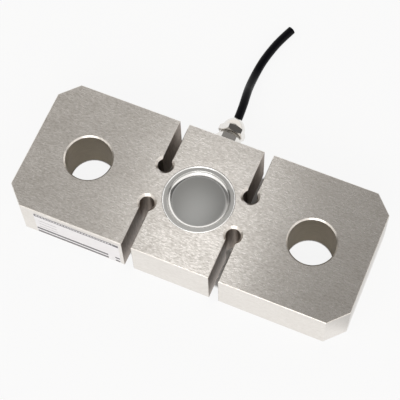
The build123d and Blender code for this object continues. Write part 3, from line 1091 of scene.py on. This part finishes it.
@dataclass
class CableGland:
    """The gland: plated body and dome nut, and the soft pieces inside."""

    plate: PlainFinish = PlainFinish("bright_nickel", (0.775, 0.755, 0.725), 0.05, Sheen.BARE_METAL,
                                     0.12, 0.05, (1500.0, 1500.0, 1500.0), 0.000004)
    washer: PlainFinish = PlainFinish("washer_rubber", (0.02, 0.02, 0.02), 0.2, roughness=0.6)
    claw: PlainFinish = PlainFinish("claw_nylon", (0.62, 0.60, 0.54), 0.06, roughness=0.42)
    seal: PlainFinish = PlainFinish("seal_rubber", (0.018, 0.018, 0.02), 0.2, roughness=0.55)
    # darker nickel on the thread: painted shade in the gap between collar and nut
    thread: PlainFinish = PlainFinish("thread_nickel_painted_shade", (0.52, 0.505, 0.48), 0.15, Sheen.BARE_METAL, 0.30)
    axis: Point = (-0.002, 0.0, 0.01775)
    gap: tuple[float, float] = (0.05785, 0.05985)
    thread_pitch: float = 0.00066
    thread_radii: tuple[float, float, float] = (0.00690, 0.00705, 0.00745)

    def build(self, frame: dict) -> None:
        """Dresses the gland.

        Args:
            frame: the loaded frame.
        """
        Workshop.dress(frame, self.plate.material(), "gland_body", "gland_dome_nut")
        Workshop.dress(frame, self.washer.material(), "gland_washer")
        Workshop.dress(frame, self.claw.material(), "gland_claw")
        Workshop.dress(frame, self.seal.material(), "gland_seal")
        self.build_thread()

    def build_thread(self) -> None:
        """Makes the thread that shows between the body's collar and the dome nut, in a nickel darker than
        the body's as painted shade of the gap.
        """
        sunk, root, crest = self.thread_radii
        start, stop = self.gap
        turns = int((stop - start) / self.thread_pitch)
        outline = [(sunk, start)]
        for turn in range(turns):
            outline.append((root, start + turn * self.thread_pitch))
            outline.append((crest, start + (turn + 0.5) * self.thread_pitch))
        outline += [(root, start + turns * self.thread_pitch), (sunk, start + turns * self.thread_pitch)]
        mesh = bmesh.new()
        Workshop.spun(mesh, outline, self.axis, 72)
        Workshop.piece("gland_thread", mesh, self.thread.material(), "nickel_plate", 20.0)


@dataclass
class Nameplate:
    """The bare nameplate with its bars and rules."""

    film: PlainFinish = PlainFinish("label_film_satin", (0.83, 0.815, 0.83), 0.03, roughness=0.34,
                                    grain=(700.0, 700.0, 2600.0), relief=0.000003, specular=0.6)
    ink: RuledPrint = RuledPrint()

    def build(self, frame: dict) -> None:
        """Dresses the nameplate.

        Args:
            frame: the loaded frame.
        """
        Workshop.dress(frame, self.film.material(), "nameplate")
        Workshop.dress(frame, self.ink.material(), "nameplate_print")


@dataclass
class GaugeSet:
    """The four strain gauges on the cavity wall."""

    places: tuple[str, ...] = ("right_rear", "left_rear", "left_front", "right_front")
    film: PlainFinish = PlainFinish("polyimide_film", (0.62, 0.30, 0.06), 0.1, roughness=0.3)
    foil: PlainFinish = PlainFinish("gauge_foil", (0.74, 0.62, 0.46), 0.06, Sheen.BARE_METAL, 0.28)
    coat: PlainFinish = PlainFinish("gauge_coat_silicone", (0.72, 0.74, 0.75), 0.05, roughness=0.25,
                                    clear=0.6)

    def build(self, frame: dict) -> None:
        """Dresses the gauges.

        Args:
            frame: the loaded frame.
        """
        for kind, finish in (("film", self.film), ("grid", self.foil), ("coat", self.coat)):
            Workshop.dress(frame, finish.material(), *(f"gauge_{kind}_{place}" for place in self.places))


@dataclass
class TerminalBoard:
    """The board in the cavity, with its pads, solder, resistors, leads and cable cores."""

    resistor_places: tuple[tuple[str, Point, Axis], ...] = (
        ("modulus_resistor_left", (-0.006, -0.001, 0.008), Axis.ACROSS),
        ("modulus_resistor_right", (0.006, -0.001, 0.008), Axis.ACROSS),
        ("zero_balance_resistor", (0.0, -0.010, 0.008), Axis.ALONG),
    )
    core_colours: dict[str, Colour] = field(default_factory=lambda: {
        "core_red": (0.55, 0.02, 0.02),
        "core_black": (0.015, 0.015, 0.015),
        "core_green": (0.02, 0.28, 0.07),
        "core_white": (0.78, 0.78, 0.75),
    })
    board: PlainFinish = PlainFinish("board_laminate", (0.03, 0.20, 0.07), 0.15, roughness=0.35,
                                     grain=(2200.0, 2200.0, 2200.0), coat=0.3)
    copper: PlainFinish = PlainFinish("pad_copper", (0.72, 0.36, 0.20), 0.08, Sheen.BARE_METAL, 0.3)
    solder: PlainFinish = PlainFinish("solder_tin", (0.66, 0.66, 0.65), 0.08, Sheen.BARE_METAL, 0.22)
    foam: PlainFinish = PlainFinish("pad_foam", (0.10, 0.10, 0.105), 0.35, roughness=0.9,
                                    grain=(1400.0, 1400.0, 1400.0), relief=0.0002)
    leads: PlainFinish = PlainFinish("enamelled_wire", (0.50, 0.17, 0.05), 0.1, Sheen.BARE_METAL, 0.3)
    drain: PlainFinish = PlainFinish("tinned_wire", (0.72, 0.71, 0.69), 0.08, Sheen.BARE_METAL, 0.3)
    sealant: PlainFinish = PlainFinish("passage_sealant", (0.66, 0.66, 0.62), 0.06, roughness=0.35,
                                       clear=0.3)

    def build(self, frame: dict) -> None:
        """Dresses the board and what is on it.

        Args:
            frame: the loaded frame.
        """
        for finish, node in (
            (self.board, "terminal_board"),
            (self.copper, "board_copper_pads"),
            (self.solder, "solder_joints"),
            (self.foam, "board_foam_pad"),
            (self.leads, "gauge_leads"),
            (self.drain, "shield_drain"),
            (self.sealant, "passage_sealant"),
        ):
            Workshop.dress(frame, finish.material(), node)
        for node, colour in self.core_colours.items():
            insulation = PlainFinish(f"{node}_pvc", colour, 0.08, roughness=0.4)
            Workshop.dress(frame, insulation.material(), node)
        for node, centre, axis in self.resistor_places:
            Workshop.dress(frame, BandedResistor(f"{node}_lacquer", centre, axis).material(), node)


def main() -> None:
    """Builds the scene around the frame, in order, and keeps its sizes."""
    logging.basicConfig(level=logging.INFO, format="%(name)s: %(message)s")
    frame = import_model()
    scene = bpy.context.scene
    scene.view_settings.view_transform = "Standard"
    studio = Studio()
    studio.build_camera()
    Cable().build(frame)
    for assembly in (SpringBody(), CavityCovers(), CableGland(), Nameplate(), GaugeSet(), TerminalBoard()):
        assembly.build(frame)
    studio.build_floor()
    studio.build_sky()
    studio.build_lamps()


if __name__ == "__main__":
    main()
